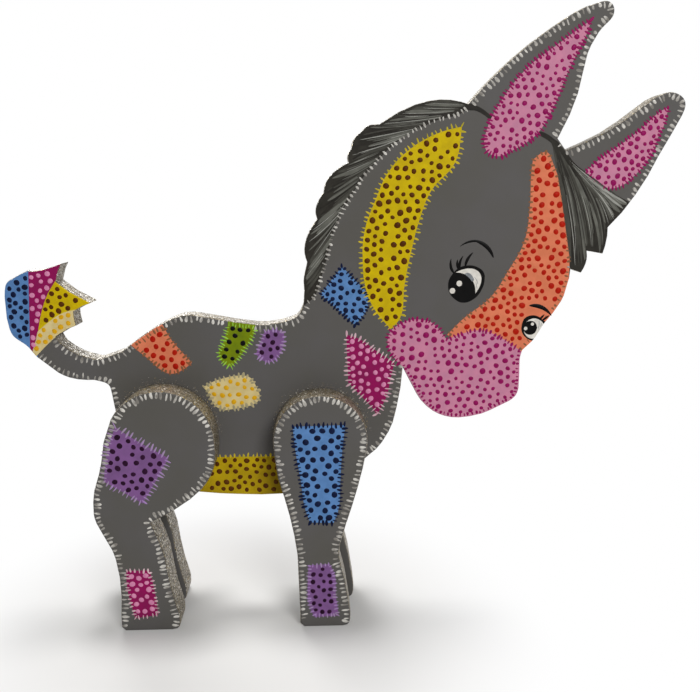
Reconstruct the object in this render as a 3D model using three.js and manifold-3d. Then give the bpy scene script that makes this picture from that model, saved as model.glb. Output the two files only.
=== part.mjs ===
// A painted wooden donkey foal: one scroll-sawn body board with two leg boards on each side of it,
// held together by beech dowels. Millimetres, +Z up. The donkey faces +X, so its right side is
// the -Y side. Its soles stand on z = 0, and the origin is under the middle of the figure.
import * as THREE from 'three';
import { mergeVertices } from 'three/addons/utils/BufferGeometryUtils.js';
import Module from 'manifold-3d';

// The boards
const BODY_BOARD = 12; // thickness of the body board
const LEG_BOARD = 16; // thickness of each leg board
const EDGE_ROUND = 1; // sanded round along every sawn edge

// The dowels that join each pair of legs through the body
const DOWEL_DIAMETER = 8;
const DOWEL_LENGTH = 35; // stock length: through the body and into both legs
const DOWEL_SPACING = 24; // between the two dowels of a pair of legs
const DOWEL_CHAMFER = 0.8;
const FLUTE_COUNT = 12; // grooves that let the glue out along a dowel
const FLUTE_DEPTH = 0.35;
const BORE_CLEARANCE = 0.15; // between a dowel and its bore, all round
const BORE_END_GAP = 0.5; // glue space past each end of a dowel

// The trunk, measured from the hip and shoulder centres, where the legs are joined
const HIP_HEIGHT = 98.7; // hip and shoulder centres above the floor
const BARREL_LENGTH = 77; // hip centre to shoulder centre
const CROUP_RISE = 60; // hip centre up to the top of the back
const BELLY_DROP = 33.5; // hip centre down to the belly
const CHEST_REACH = 41; // chest ahead of the shoulder centre
const RUMP_REACH = 24.5; // rump behind the hip centre

// The head, hung from the poll, which is the notch between the ears
const POLL_REACH = 118; // poll ahead of the shoulder centre
const POLL_RISE = 138; // poll above the shoulder centre
const HEAD_LENGTH = 140; // poll to chin
const HEAD_WIDTH = 60; // across the face
const HEAD_ANGLE = -110.6; // degrees from level, from the poll down to the chin
const MUZZLE_LENGTH = 58;
const MUZZLE_DEPTH = 40;
const REAR_EAR_LENGTH = 69;
const REAR_EAR_WIDTH = 51; // across its root
const REAR_EAR_ANGLE = 54.6; // degrees from level
const FRONT_EAR_LENGTH = 60.5;
const FRONT_EAR_WIDTH = 40; // across its root
const FRONT_EAR_ANGLE = 44.3; // degrees from level

// The mane, the forelock and the tail
const CREST_RISE = 29; // mane above the straight line from withers to crown
const FORELOCK_LENGTH = 21; // down the forehead from the front ear
const FORELOCK_WIDTH = 16; // across its two steps
const TAIL_LENGTH = 31; // rump to tuft
const TAIL_WIDTH = 12;
const TAIL_ANGLE = 158; // degrees from level: back and up
const TUFT_LENGTH = 40.5;
const TUFT_WIDTH = 40;

// The hind legs: widths across the board, and middles measured back from the hip centre
const HAUNCH_RADIUS = 26;
const HOCK_HEIGHT = 58; // floor to the notch in front of the hock
const HOCK_WIDTH = 26.5;
const HOCK_SETBACK = 19.8;
const HIND_CANNON_WIDTH = 24.8;
const HIND_CANNON_SETBACK = 13.25;
const HIND_HOOF_WIDTH = 29.5;
const HIND_HOOF_SETBACK = 9.2;

// The front legs: widths across the board, and middles measured back from the shoulder centre
const SHOULDER_RADIUS = 23;
const FOREARM_WIDTH = 31;
const FOREARM_SETBACK = 0.6;
const FRONT_CANNON_HEIGHT = 42; // floor to the narrowest place
const FRONT_CANNON_WIDTH = 21.2;
const FRONT_CANNON_SETBACK = 1.6;
const FRONT_HOOF_WIDTH = 25.5;
const FRONT_HOOF_ADVANCE = 1.8; // middle of the hoof ahead of the shoulder centre

// Hooves, hind and front
const HOOF_HEIGHT = 8; // floor to the widest place of a hoof
const TOE_CORNER = 4;
const HEEL_CORNER = 2;

// The left leg of each pair was glued on a little out of line with the right one
const LEFT_HIND_SHIFT = -1.5;
const LEFT_FRONT_SHIFT = 2.8;

// How finely curves are cut into straight facets
const FACET_TURN = 8; // degrees that an outline may turn before it gets a point
const FACET_RUN = 10; // longest straight run on a curve
const TIP_ROOM = 2.4; // no point this close to the end of a curve, where a tip may need room
const ROUND_STEPS = 2; // facets across the rounded edge of a board
const BORE_SIDES = 32;
const FLUTE_STEPS = 4; // facets across each flute
const BORE_RUN_OUT = 1; // how far a drill starts outside the wood

const PAINTED_WOOD = new THREE.MeshStandardMaterial({ color: 0x565450, roughness: 0.6, metalness: 0 });
const BEECH = new THREE.MeshStandardMaterial({ color: 0xd2a878, roughness: 0.75, metalness: 0 });

const point = (x, z) => new THREE.Vector2(x, z);
const radians = (degrees) => degrees * Math.PI / 180;
const turned = (x, z, degrees) => point(x, z).rotateAround(point(0, 0), radians(degrees));

// A frame to draw in: (u, v) is u lengths along its axis and v widths to the left of it
function frame(origin, degrees, length, width) {
  const along = turned(length, 0, degrees);
  const across = turned(0, width, degrees);
  return (u, v) => origin.clone().addScaledVector(along, u).addScaledVector(across, v);
}

const places = (draw, pairs) => pairs.map(([u, v]) => draw(u, v));
const line = (from, to) => new THREE.LineCurve(from, to);
const spline = (...points) => new THREE.SplineCurve(points.flat());

// A curve that bulges to the left of the straight line between its ends, fullest at the given share of it
function lock(from, to, bulge, share) {
  const run = to.clone().sub(from);
  const outward = point(-run.y, run.x);
  const control = from.clone().addScaledVector(run, share).addScaledVector(outward, 2 * bulge);
  return new THREE.QuadraticBezierCurve(from, control, to);
}

const locks = (ends, bulge, share) => ends.slice(1).map((end, i) => lock(ends[i], end, bulge, share));

// The points of one curve but its last, which the next curve starts with
function facets(curve) {
  const length = curve.getLength();
  const fine = curve.getSpacedPoints(Math.max(2, Math.ceil(2 * length)));
  const kept = [fine[0]];
  let turn = 0;
  let run = 0;
  let gone = 0;
  for (let i = 1; i < fine.length - 1; i++) {
    const arriving = fine[i].clone().sub(fine[i - 1]);
    const leaving = fine[i + 1].clone().sub(fine[i]);
    turn += Math.abs(Math.atan2(arriving.cross(leaving), arriving.dot(leaving)));
    run += arriving.length();
    gone += arriving.length();
    const due = turn >= radians(FACET_TURN) || run >= FACET_RUN;
    if (due && gone >= TIP_ROOM && gone <= length - TIP_ROOM) {
      kept.push(fine[i]);
      turn = 0;
      run = 0;
    }
  }
  return kept;
}

// A board sawn along a closed run of curves, centred on y = 0, with its edges rounded over
function board(curves, thickness) {
  const depth = thickness - 2 * EDGE_ROUND;
  const geometry = new THREE.ExtrudeGeometry(new THREE.Shape(curves.flatMap(facets)), {
    depth,
    steps: 1,
    bevelThickness: EDGE_ROUND,
    bevelSize: EDGE_ROUND,
    bevelOffset: -EDGE_ROUND,
    bevelSegments: ROUND_STEPS,
  });
  geometry.translate(0, 0, -depth / 2);
  geometry.rotateX(Math.PI / 2);
  return geometry;
}

// The boards are drilled with manifold-3d
const wasm = await Module();
wasm.setup();

function toSolid(geometry) {
  const bare = geometry.clone();
  bare.deleteAttribute('normal');
  bare.deleteAttribute('uv');
  const merged = mergeVertices(bare);
  return new wasm.Manifold(new wasm.Mesh({
    numProp: 3,
    vertProperties: merged.attributes.position.array,
    triVerts: new Uint32Array(merged.index.array),
  }));
}

function toGeometry(solid) {
  const mesh = solid.getMesh();
  const geometry = new THREE.BufferGeometry();
  geometry.setAttribute('position', new THREE.BufferAttribute(new Float32Array(mesh.vertProperties), 3));
  geometry.setIndex(new THREE.BufferAttribute(new Uint32Array(mesh.triVerts), 1));
  geometry.computeVertexNormals();
  return geometry;
}

// Bores along Y at the given centres, from one y to the other
function drilled(geometry, centres, from, to) {
  const radius = DOWEL_DIAMETER / 2 + BORE_CLEARANCE;
  let wood = toSolid(geometry);
  for (const centre of centres) {
    const bore = new THREE.CylinderGeometry(radius, radius, Math.abs(to - from), BORE_SIDES);
    bore.translate(centre.x, (from + to) / 2, centre.y);
    wood = wood.subtract(toSolid(bore));
  }
  return toGeometry(wood);
}

// Landmarks in the plane of the boards: x from the hip centre, z from the floor
const HIP = point(0, HIP_HEIGHT);
const SHOULDER = point(BARREL_LENGTH, HIP_HEIGHT);
const POLL = point(SHOULDER.x + POLL_REACH, SHOULDER.y + POLL_RISE);

const onBack = frame(HIP, 0, BARREL_LENGTH, CROUP_RISE);
const onBelly = frame(HIP, 0, BARREL_LENGTH, BELLY_DROP);
const onRump = frame(HIP, 0, RUMP_REACH, BELLY_DROP);
const onChest = frame(SHOULDER, 0, CHEST_REACH, BELLY_DROP);
const onHead = frame(POLL, HEAD_ANGLE, HEAD_LENGTH, HEAD_WIDTH);
const onRearEar = frame(POLL, REAR_EAR_ANGLE, REAR_EAR_LENGTH, REAR_EAR_WIDTH);
const onFrontEar = frame(POLL, FRONT_EAR_ANGLE, FRONT_EAR_LENGTH, FRONT_EAR_WIDTH);
const onTail = frame(onBack(-0.35, 0.55), TAIL_ANGLE, TAIL_LENGTH, TAIL_WIDTH);
const onTuft = frame(onTail(1, 0), 90, TUFT_LENGTH, TUFT_WIDTH);

const RUMP = onRump(-1, 0.3);
const TUFT_LOW = onTuft(-0.125, 0.13);
const TUFT_HIGH = onTuft(0.13, -0.12);
const TAIL_TOP = onBack(-0.26, 0.7);
const WITHERS = onBack(0.9, 1.08);
const CROWN = onRearEar(-0.15, 1);
const EAR_POCKET = onRearEar(0.03, 0.13);
const FOREHEAD = onFrontEar(-0.15, -1.045);
const NOSE = onHead(0.394, 0.436);
const BRIDGE = onHead(0.69, 0.31);
const JAW = onChest(1.01, 0.98);

// The outline runs clockwise, with the wood on its right

// The tail: a bent neck of wood, wider at its tuft, which ends in three points of hair
function tail() {
  const dock = places(onBack, [[-0.334, 0.31], [-0.355, 0.42]]);
  const underside = places(onTail, [[0.13, 0.62], [0.26, 0.74], [0.42, 0.86], [0.6, 0.9], [0.78, 0.82]]);
  const outside = places(onTuft, [[0.01, 0.235], [0.137, 0.394], [0.306, 0.447], [0.5, 0.457],
    [0.69, 0.447], [0.8, 0.39], [0.92, 0.16]]);
  const hair = places(onTuft, [[0.91, 0.11], [1, -0.245], [0.79, -0.17], [0.53, -0.56], [0.43, -0.35],
    [0.26, -0.37]]);
  const top = places(onTail, [[0.82, -0.35], [0.65, -0.22], [0.48, -0.17], [0.31, -0.21], [0.17, -0.31]]);
  return [
    spline(RUMP, dock, underside, TUFT_LOW),
    spline(TUFT_LOW, outside),
    line(outside.at(-1), hair[0]),
    ...locks([...hair, TUFT_HIGH], -0.04, 0.45),
    spline(TUFT_HIGH, top, TAIL_TOP),
  ];
}

function back() {
  const topline = places(onBack, [[-0.07, 0.875], [0.08, 0.975], [0.2, 1], [0.44, 0.945], [0.64, 0.915],
    [0.8, 0.95], [0.87, 1]]);
  return [spline(TAIL_TOP, topline, WITHERS)];
}

// The mane: locks of hair in a scalloped crest from the withers up to the crown
function mane() {
  const neck = CROWN.clone().sub(WITHERS);
  const onNeck = frame(WITHERS, THREE.MathUtils.radToDeg(neck.angle()), neck.length(), CREST_RISE);
  const partings = places(onNeck, [[0.14, 0.4], [0.295, 0.72], [0.39, 0.91], [0.54, 0.9], [0.59, 1.01],
    [0.66, 1.05], [0.725, 0.9]]);
  return [
    spline(WITHERS, onNeck(0.04, 0.12), onNeck(0.08, 0.27), partings[0]),
    ...locks(partings, 0.145, 0.36),
    lock(partings.at(-1), CROWN, 0.125, 0.6),
  ];
}

function ears() {
  const rear = places(onRearEar, [[0.054, 0.965], [0.32, 0.89], [0.556, 0.79], [0.765, 0.672],
    [0.88, 0.565], [0.92, 0.51], [0.925, 0.455], [0.9, 0.405], [0.85, 0.385], [0.74, 0.405], [0.6, 0.38],
    [0.47, 0.305], [0.35, 0.23], [0.2, 0.17]]);
  const front = places(onFrontEar, [[0.07, -0.04], [0.317, -0.172], [0.564, -0.242], [0.757, -0.278],
    [0.88, -0.36], [0.929, -0.497], [0.903, -0.613], [0.79, -0.697], [0.534, -0.818], [0.29, -0.947],
    [0.035, -1.025]]);
  return [
    spline(CROWN, rear, EAR_POCKET),
    line(EAR_POCKET, POLL),
    spline(POLL, front, FOREHEAD),
  ];
}

// The forelock: two steps of hair over the forehead
function forelock() {
  const onForelock = frame(FOREHEAD, -90, FORELOCK_LENGTH, FORELOCK_WIDTH);
  const steps = places(onForelock, [[0.606, -0.109], [0.539, -0.609], [1.049, -0.749], [0.959, -1.079]]);
  return [
    lock(FOREHEAD, steps[0], 0.05, 0.45),
    line(steps[0], steps[1]),
    lock(steps[1], steps[2], 0.11, 0.45),
    line(steps[2], steps[3]),
    line(steps[3], NOSE),
  ];
}

// The face, and the muzzle: a blunt round that hangs below the jaw
function face() {
  const onMuzzle = frame(onHead(0.863, -0.076), 0, MUZZLE_LENGTH / 2, MUZZLE_DEPTH / 2);
  const profile = places(onHead, [[0.463, 0.454], [0.523, 0.43], [0.58, 0.388], [0.644, 0.36]]);
  const muzzle = places(onMuzzle, [[1.005, 0.5], [1.01, 0.1], [1, -0.3], [0.9, -0.535], [0.65, -0.73],
    [0.33, -0.93], [-0.09, -1.01], [-0.43, -0.877], [-0.7, -0.55], [-0.88, -0.1]]);
  return [spline(NOSE, profile, BRIDGE), spline(BRIDGE, muzzle, JAW)];
}

function chestAndBelly() {
  const chest = places(onChest, [[1, 0.78], [0.96, 0.48], [0.89, 0.1], [0.74, -0.23], [0.54, -0.46],
    [0.3, -0.68], [0, -0.88], [-0.28, -0.97]]);
  const belly = places(onBelly, [[0.6, -1], [0.42, -0.98], [0.23, -0.95], [0.05, -0.85]]);
  const rump = places(onRump, [[-0.5, -0.55], [-0.86, -0.15]]);
  return [spline(JAW, chest, belly, rump, RUMP)];
}

const BODY_OUTLINE = [
  ...tail(), ...back(), ...mane(), ...ears(), ...forelock(), ...face(), ...chestAndBelly(),
];

// A leg has stations from its hoof up, each with a height above the floor, a middle and a width
const atBack = ([height, middle, width]) => point(middle - width / 2, height);
const atFront = ([height, middle, width]) => point(middle + width / 2, height);

const atRim = (centre, radius, degrees) => centre.clone().add(turned(radius, 0, degrees));

function rim(centre, radius, fromDegrees, toDegrees) {
  return new THREE.EllipseCurve(
    centre.x, centre.y, radius, radius, radians(fromDegrees), radians(toDegrees), true);
}

// The flat sole, from the rounded toe back to the heel
function sole(hoof) {
  const front = atFront(hoof).x;
  const back = atBack(hoof).x;
  const toe = [point(front, TOE_CORNER), point(front, 0), point(front - TOE_CORNER, 0)];
  const heel = [point(back + HEEL_CORNER, 0), point(back, 0), point(back, HEEL_CORNER)];
  return [
    line(atFront(hoof), toe[0]),
    new THREE.QuadraticBezierCurve(...toe),
    line(toe[2], heel[0]),
    new THREE.QuadraticBezierCurve(...heel),
    line(heel[2], atBack(hoof)),
  ];
}

// A hind leg: a round haunch, a thigh that runs back to the hock, and a cannon that bends forward
function hindLeg() {
  const hoof = [HOOF_HEIGHT, HIP.x - HIND_HOOF_SETBACK, HIND_HOOF_WIDTH];
  const cannon = [HOCK_HEIGHT * 0.72, HIP.x - HIND_CANNON_SETBACK, HIND_CANNON_WIDTH];
  const hock = [HOCK_HEIGHT, HIP.x - HOCK_SETBACK, HOCK_WIDTH];
  const fetlock = [HOCK_HEIGHT * 0.42, cannon[1] * 0.4 + hoof[1] * 0.6, HIND_CANNON_WIDTH];
  const stations = [hoof, fetlock, cannon, hock];
  const onThigh = frame(point(HIP.x, HOCK_HEIGHT), 0, HAUNCH_RADIUS, HIP_HEIGHT - HOCK_HEIGHT);
  const thigh = places(onThigh, [[-1.31, 0.2], [-1.27, 0.42], [-1.13, 0.7], [-1.04, 1.02]]);
  const [haunchBack, haunchFront] = [152, 5]; // degrees round the hip
  const haunchEnd = atRim(HIP, HAUNCH_RADIUS, haunchFront);
  return [
    spline(stations.map(atBack), thigh, atRim(HIP, HAUNCH_RADIUS, haunchBack)),
    rim(HIP, HAUNCH_RADIUS, haunchBack, haunchFront),
    new THREE.CubicBezierCurve(haunchEnd, onThigh(1.077, 0.626), onThigh(0.865, 0.35), atFront(hock)),
    spline(stations.map(atFront).reverse()),
    ...sole(hoof),
  ];
}

// A front leg: a round shoulder that tapers to the cannon, and a flared hoof
function frontLeg() {
  const hoof = [HOOF_HEIGHT, SHOULDER.x + FRONT_HOOF_ADVANCE, FRONT_HOOF_WIDTH];
  const cannon = [FRONT_CANNON_HEIGHT, SHOULDER.x - FRONT_CANNON_SETBACK, FRONT_CANNON_WIDTH];
  const fetlock = [
    FRONT_CANNON_HEIGHT * 0.62,
    (cannon[1] + hoof[1]) / 2,
    (FRONT_CANNON_WIDTH + FRONT_HOOF_WIDTH) / 2,
  ];
  const above = HIP_HEIGHT - FRONT_CANNON_HEIGHT;
  const forearm = [FRONT_CANNON_HEIGHT + above * 0.37, SHOULDER.x - FOREARM_SETBACK, FOREARM_WIDTH];
  const elbow = [
    FRONT_CANNON_HEIGHT + above * 0.69,
    SHOULDER.x - FOREARM_SETBACK,
    FOREARM_WIDTH * 0.33 + 2 * SHOULDER_RADIUS * 0.67,
  ];
  const stations = [hoof, fetlock, cannon, forearm, elbow];
  const [rimBack, rimFront] = [188, -8]; // degrees round the shoulder
  return [
    spline(stations.map(atBack), atRim(SHOULDER, SHOULDER_RADIUS, rimBack)),
    rim(SHOULDER, SHOULDER_RADIUS, rimBack, rimFront),
    spline(atRim(SHOULDER, SHOULDER_RADIUS, rimFront), stations.map(atFront).reverse()),
    ...sole(hoof),
  ];
}

// A fluted dowel along Y, with chamfered ends
function dowel() {
  const steps = FLUTE_COUNT * FLUTE_STEPS;
  const section = Array.from({ length: steps }, (_, i) => {
    const flute = FLUTE_DEPTH * (1 - Math.cos(2 * Math.PI * i / FLUTE_STEPS)) / 2;
    return turned(DOWEL_DIAMETER / 2 - flute, 0, 360 * i / steps);
  });
  const depth = DOWEL_LENGTH - 2 * DOWEL_CHAMFER;
  const geometry = new THREE.ExtrudeGeometry(new THREE.Shape(section), {
    depth,
    steps: 1,
    bevelThickness: DOWEL_CHAMFER,
    bevelSize: DOWEL_CHAMFER,
    bevelOffset: -DOWEL_CHAMFER,
    bevelSegments: 1,
  });
  geometry.translate(0, 0, -depth / 2);
  geometry.rotateX(Math.PI / 2);
  return geometry;
}

const donkey = new THREE.Group();

function add(name, geometry, material, x, y, z) {
  const mesh = new THREE.Mesh(geometry, material);
  mesh.name = name;
  mesh.position.set(x, y, z);
  donkey.add(mesh);
}

const PAIRS = [
  { name: 'hind', outline: hindLeg(), joint: HIP, leftShift: LEFT_HIND_SHIFT },
  { name: 'front', outline: frontLeg(), joint: SHOULDER, leftShift: LEFT_FRONT_SHIFT },
];

function dowelCentres({ joint }) {
  return [1, -1].map((side) => point(joint.x, joint.y + side * DOWEL_SPACING / 2));
}

// The body board, drilled right through
const bodyReach = BODY_BOARD / 2 + BORE_RUN_OUT;
const bodyBores = PAIRS.flatMap(dowelCentres);
const body = drilled(board(BODY_OUTLINE, BODY_BOARD), bodyBores, -bodyReach, bodyReach);
add('body_board', body, PAINTED_WOOD, 0, 0, 0);

// The legs, each with blind bores in its inner face, flat against the body board
const boreDepth = (DOWEL_LENGTH - BODY_BOARD) / 2 + BORE_END_GAP;
for (const pair of PAIRS) {
  for (const [name, side, shift] of [['right', -1, 0], ['left', 1, pair.leftShift]]) {
    const wood = board(pair.outline, LEG_BOARD);
    wood.translate(shift, 0, 0);
    const innerFace = -side * LEG_BOARD / 2;
    const start = innerFace - side * BORE_RUN_OUT;
    const leg = drilled(wood, dowelCentres(pair), start, innerFace + side * boreDepth);
    add(`${name}_${pair.name}_leg`, leg, PAINTED_WOOD, 0, side * (BODY_BOARD + LEG_BOARD) / 2, 0);
  }
}

// The dowels, two to a pair of legs
for (const pair of PAIRS) {
  dowelCentres(pair).forEach((centre, i) => {
    add(`${pair.name}_${['upper', 'lower'][i]}_dowel`, dowel(), BEECH, centre.x, 0, centre.y);
  });
}

const middle = new THREE.Box3().setFromObject(donkey).getCenter(new THREE.Vector3());
donkey.position.x = -middle.x;

export default donkey;
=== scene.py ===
"""The looks of the painted wooden donkey, dressed over its packed boards. Sizes are in mm until a mesh is made."""

import collections
import math
import random

import bpy
import numpy as np
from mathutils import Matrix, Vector


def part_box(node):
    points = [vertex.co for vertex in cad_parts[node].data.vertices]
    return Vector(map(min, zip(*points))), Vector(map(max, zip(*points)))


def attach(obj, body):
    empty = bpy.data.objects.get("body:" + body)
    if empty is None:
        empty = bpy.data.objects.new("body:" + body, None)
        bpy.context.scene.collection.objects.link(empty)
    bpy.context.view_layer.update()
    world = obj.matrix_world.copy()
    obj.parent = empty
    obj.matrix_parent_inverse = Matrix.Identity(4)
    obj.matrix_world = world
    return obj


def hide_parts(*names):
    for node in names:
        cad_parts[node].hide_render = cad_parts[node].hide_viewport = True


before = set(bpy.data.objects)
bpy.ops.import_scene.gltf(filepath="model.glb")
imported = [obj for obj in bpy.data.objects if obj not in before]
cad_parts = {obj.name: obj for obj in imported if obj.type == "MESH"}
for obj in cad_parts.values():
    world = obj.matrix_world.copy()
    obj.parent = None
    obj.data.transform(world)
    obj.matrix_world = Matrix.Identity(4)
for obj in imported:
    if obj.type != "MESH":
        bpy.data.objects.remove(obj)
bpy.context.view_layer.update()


# The body board and the four leg boards.
# Flat boards, 12 mm and 16 mm thick, scroll-sawn to their outlines and sanded round at every edge. The flat sides
# are brushed with dark grey acrylic, and the sawn edges are dabbed with a pewter-coloured glitter paint.
MM = 0.001
EDGE_ROUND = 1.0
SAME_SPOT = 0.01
FLAT_SIDE = 0.8
SMOOTH_BELOW = math.radians(50)
STRAIGHT = math.radians(0.5)
# A bristle brush leaves marks this wide and deep in acrylic, which dries with very little gloss.
BRISTLE, BRISTLE_DEPTH = 0.6, 0.04
ACRYLIC_GLOSS = 0.07
# The part of a noise pattern over which thick paint turns to thin.
CLOUD_LOW, CLOUD_HIGH = 0.35, 0.65


def linear(code):
    """The linear colour of an sRGB hex value."""
    parts = [int(code[i:i + 2], 16) / 255 for i in (0, 2, 4)]
    return [p / 12.92 if p <= 0.04045 else ((p + 0.055) / 1.055) ** 2.4 for p in parts] + [1]


def add(tree, kind, sockets=(), **fields):
    """A shader node with its own fields set. A socket takes a constant, or a tuple of a node and its output."""
    node = tree.nodes.new("ShaderNode" + kind)
    for field, value in fields.items():
        setattr(node, field, value)
    for socket, value in dict(sockets).items():
        if isinstance(value, tuple):
            tree.links.new(value[0].outputs[value[1]], node.inputs[socket])
        else:
            node.inputs[socket].default_value = value
    return node


def blank(name):
    """A new material of that name, with no nodes in it yet."""
    made = bpy.data.materials.new(name)
    made.use_nodes = True
    made.node_tree.nodes.clear()
    return made


def acrylic(name, full, thin, fleck=6.0, roughness=0.5):
    """Brushed craft acrylic: a satin skin, paler or darker where the brush left it thin, with fine bristle marks.
    fleck is the length of a thin place in mm."""
    made = blank(name)
    tree = made.node_tree
    place = add(tree, "TexCoord")
    cloud = add(tree, "TexNoise", {"Vector": (place, "Object"), "Scale": 1 / (fleck * MM), "Detail": 2.0})
    reach = add(tree, "MapRange", {"Value": (cloud, "Fac"), "From Min": CLOUD_LOW, "From Max": CLOUD_HIGH})
    tint = add(tree, "Mix", {0: (reach, "Result"), 6: linear(full), 7: linear(thin)}, data_type="RGBA")
    bristle = add(tree, "TexNoise", {"Vector": (place, "Object"), "Scale": 1 / (BRISTLE * MM), "Detail": 2.0})
    relief = add(tree, "Bump", {
        "Height": (bristle, "Fac"), "Strength": 0.25, "Distance": BRISTLE_DEPTH * MM})
    sheen = add(tree, "MapRange", {"Value": (cloud, "Fac"), "To Min": roughness - 0.06, "To Max": roughness + 0.1})
    skin = add(tree, "BsdfPrincipled", {
        "Base Color": (tint, 2), "Roughness": (sheen, "Result"), "Normal": (relief, "Normal"),
        "Specular IOR Level": ACRYLIC_GLOSS})
    add(tree, "OutputMaterial", {"Surface": (skin, "BSDF")})
    return made


# Dark grey acrylic over sealed board: an even satin grey that turns a little bluer in broad patches.
GREY = acrylic("dark_grey_acrylic", "565450", "595756", fleck=30.0)

# Glitter paint: flakes 0.55 mm wide in a clear binder. Each flake lies at its own angle. Most are dull pewter, and a
# few are set near-white or gold: silver and gold flakes whose colour also holds a painted glint.
GLITTER = blank("pewter_glitter_paint")
FLAKE = 0.55
FLAKE_TILT = 0.9
tree = GLITTER.node_tree
place = add(tree, "TexCoord")
flakes = add(tree, "TexVoronoi", {"Vector": (place, "Object"), "Scale": 1 / (FLAKE * MM)})
shares = add(tree, "ValToRGB", {"Fac": (flakes, "Color")})
stops = shares.color_ramp
stops.interpolation = "CONSTANT"
stops.elements.remove(stops.elements[1])
stops.elements[0].color = linear("4c463a")
# The near-white and gold stops make the few bright flakes, a painted glint added to what each flake's own tilt
# catches.
for share, code in ((0.3, "696050"), (0.5, "7e735f"), (0.68, "9a8f7b"), (0.8, "f2eee2"), (0.87, "bda35f")):
    stops.elements.new(share).color = linear(code)
lean = add(tree, "VectorMath", {0: (flakes, "Color"), 1: [FLAKE_TILT] * 3, 2: [-FLAKE_TILT / 2] * 3},
           operation="MULTIPLY_ADD")
level = add(tree, "NewGeometry")
tilted = add(tree, "VectorMath", {0: (lean, "Vector"), 1: (level, "Normal")}, operation="ADD")
unit = add(tree, "VectorMath", {0: (tilted, "Vector")}, operation="NORMALIZE")
binder = add(tree, "BsdfPrincipled", {
    "Base Color": (shares, "Color"), "Metallic": 0.25, "Roughness": 0.36, "Normal": (unit, "Vector"),
    "Specular IOR Level": 0.35})
add(tree, "OutputMaterial", {"Surface": (binder, "BSDF")})


def only(piece):
    """Selects one piece and makes it the active one."""
    bpy.ops.object.select_all(action="DESELECT")
    piece.select_set(True)
    bpy.context.view_layer.objects.active = piece


def smooth(piece):
    """Shades the rounded edges smooth and keeps the flat sides flat."""
    only(piece)
    bpy.ops.object.shade_smooth_by_angle(angle=SMOOTH_BELOW)
    weighted = piece.modifiers.new("Flat sides lead", "WEIGHTED_NORMAL")
    weighted.keep_sharp = True
    bpy.ops.object.modifier_apply(modifier=weighted.name)


def sawn(node, name):
    """A merged copy of a CAD board, its flat sides in one face each."""
    made = bpy.data.objects.new(name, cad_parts[node].data.copy())
    bpy.context.collection.objects.link(made)
    made.data.materials.clear()
    only(made)
    bpy.ops.mesh.customdata_custom_splitnormals_clear()
    bpy.ops.object.mode_set(mode="EDIT")
    bpy.ops.mesh.select_all(action="SELECT")
    bpy.ops.mesh.remove_doubles(threshold=SAME_SPOT * MM)
    bpy.ops.mesh.dissolve_limited(angle_limit=STRAIGHT)
    bpy.ops.object.mode_set(mode="OBJECT")
    return made


def rim(board, depth):
    """The edge of a board's flat side at that depth, as a ring of (x, z) points."""
    spots = [vertex.co / MM for vertex in board.data.vertices]
    flat = [list(face.vertices) for face in board.data.polygons]
    flat = [face for face in flat if all(abs(spots[v].y - depth) < SAME_SPOT for v in face)]
    steps = [(a, b) for face in flat for a, b in zip(face, face[1:] + face[:1])]
    uses = collections.Counter(frozenset(step) for step in steps)
    follows = {a: b for a, b in steps if uses[frozenset((a, b))] == 1}
    rings = []
    while follows:
        start, ahead = follows.popitem()
        ring = [start]
        while ahead != start:
            ring.append(ahead)
            ahead = follows.pop(ahead)
        rings.append(ring)
    return np.array([(spots[v].x, spots[v].z) for v in max(rings, key=len)])


SIDES = {"right": -1, "left": 1}
BOARDS = ("body_board", "right_hind_leg", "left_hind_leg", "right_front_leg", "left_front_leg")
depths, rims = {}, {}
for node in BOARDS:
    board = sawn(node, node + "_painted")
    board.data.materials.append(GREY)
    board.data.materials.append(GLITTER)
    for face in board.data.polygons:
        face.material_index = 0 if abs(face.normal.y) > FLAT_SIDE else 1
    low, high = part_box(node)
    for side, depth in (("right", low.y / MM), ("left", high.y / MM)):
        depths[node, side] = depth
        rims[node, side] = rim(board, depth)
    smooth(board)
    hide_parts(node)
    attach(board, "root")


# The four dowels that join the boards.
# Fluted beech pins, 8 mm across, turned and pressed, glued through the body board into both legs of a pair. They
# are inside the wood, so the CAD nodes stay as they are and only take the look of raw beech.
GRAIN = 0.7
beech = blank("raw_beech")
tree = beech.node_tree
place = add(tree, "TexCoord")
# Beech grain runs along the pin, which lies across the figure, and shows as fine short darker lines.
along_pin = add(tree, "Mapping", {"Vector": (place, "Object"), "Scale": [1, 0.06, 1]})
grain = add(tree, "TexNoise", {"Vector": (along_pin, "Vector"), "Scale": 1 / (GRAIN * MM), "Detail": 4.0})
tone = add(tree, "Mix", {0: (grain, "Fac"), 6: linear("d8b184"), 7: linear("b98d5c")}, data_type="RGBA")
pores = add(tree, "Bump", {"Height": (grain, "Fac"), "Strength": 0.3, "Distance": 0.05 * MM})
pin = add(tree, "BsdfPrincipled", {"Base Color": (tone, 2), "Roughness": 0.7, "Normal": (pores, "Normal")})
add(tree, "OutputMaterial", {"Surface": (pin, "BSDF")})
for node in ("hind_upper_dowel", "hind_lower_dowel", "front_upper_dowel", "front_lower_dowel"):
    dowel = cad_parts[node]
    dowel.data.materials.clear()
    dowel.data.materials.append(beech)


# The tail's tuft: four bands of colour.
# Each is an area of acrylic on the flat side and on the upper part of the rounded edge, filled with dots of thick
# paint. Like every coloured area here, it lies on both sides of the figure.
# How thick a coat is, how far down the rounded edge it reaches, and how far a plate stands out before it is cut.
COAT = 0.06
ROUND_PAINTED = 0.29
PROUD = 1.5
CURVE_STEPS = 6
# A touch of paint starts this far inside the board, and rises by a share of its half width or by the least rise.
SINK = 0.05
RISE = 0.25
LEAST_RISE = 0.14
# Far from every outline.
FAR = 99.0
# Dots: places tried in each square mm, room left at a border, and how much a dot varies from a round one.
TRIES_PER_SQUARE = 4
DOT_MARGIN = 0.15
DOT_LENGTHS, DOT_WIDTHS, DOT_FLARE = (1, 1.09), (0.94, 1.02), 0.1
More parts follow.
